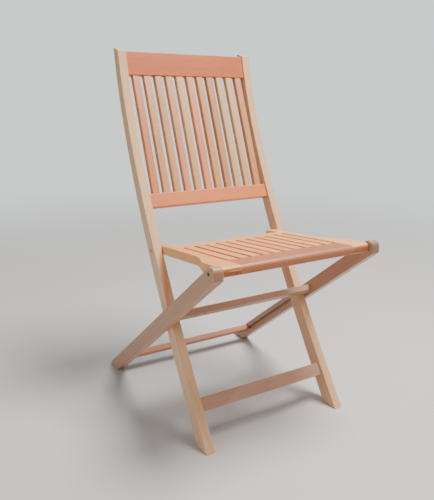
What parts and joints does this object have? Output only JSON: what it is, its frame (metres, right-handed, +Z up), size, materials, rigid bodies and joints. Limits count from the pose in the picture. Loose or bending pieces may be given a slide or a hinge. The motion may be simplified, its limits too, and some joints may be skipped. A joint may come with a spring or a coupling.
{
  "type": "folding chair",
  "caption": "Slatted wooden folding chair with bent stiles that end as front feet, a seat turning between them and crossed rear legs.",
  "frame": {"origin": "middle of the bounding box at floor level, in the open position", "axes": "+Z up, front of the chair towards -Y, +X to the right of someone facing the front of the chair"},
  "size_m": [0.454, 0.5674, 0.89],
  "materials": {
    "stiles": "satin clear varnish on straight-grained hardwood",
    "rails": "satin clear varnish, warmer boards",
    "back_slats": "satin clear varnish, each slat its own shade",
    "seat_frame": "satin clear varnish",
    "seat_slats": "satin clear varnish, each slat its own shade",
    "rear_legs": "satin clear varnish",
    "steel": "zinc-plated steel",
    "brass": "plain brass"
  },
  "bodies": {
    "back_frame": {"left_stile": "stiles", "right_stile": "stiles", "top_rail": "rails", "lower_back_rail": "rails", "back_slat_1": "back_slats", "back_slat_2": "back_slats", "back_slat_3": "back_slats", "back_slat_4": "back_slats", "back_slat_5": "back_slats", "back_slat_6": "back_slats", "back_slat_7": "back_slats", "back_slat_8": "back_slats", "back_slat_9": "back_slats", "back_slat_10": "back_slats", "back_slat_11": "back_slats", "front_stretcher": "rails", "guide_pins": "steel"},
    "seat": {"seat_left_board": "seat_frame", "seat_right_board": "seat_frame", "seat_front_rail": "seat_frame", "seat_back_rail": "seat_frame", "seat_slat_1": "seat_slats", "seat_slat_2": "seat_slats", "seat_slat_3": "seat_slats", "seat_slat_4": "seat_slats", "seat_slat_5": "seat_slats", "seat_slat_6": "seat_slats", "seat_slat_7": "seat_slats", "seat_slat_8": "seat_slats", "seat_slat_9": "seat_slats", "seat_slat_10": "seat_slats", "rear_pivot_bolts": "steel", "front_pivot_bolts": "steel", "threaded_inserts": "brass", "pivot_washers": "steel"},
    "rear_legs": {"left_rear_leg": "rear_legs", "right_rear_leg": "rear_legs", "middle_stretcher": "rails", "rear_stretcher": "rails"}
  },
  "joints": [
    {"name": "seat_fold", "type": "hinge", "parent": "back_frame", "child": "seat", "pos_m": [0, 0.05433, 0.40141], "axis": [-1, 0, 0], "range_deg": [0, 100]},
    {"name": "leg_swing", "type": "hinge", "parent": "seat", "child": "rear_legs", "pos_m": [0, -0.26167, 0.4387], "axis": [1, 0, 0], "range_deg": [0, 28.2]}
  ],
  "couplings": [
    {"joint": "leg_swing", "follows": "seat_fold", "ratio": 0.282}
  ]
}
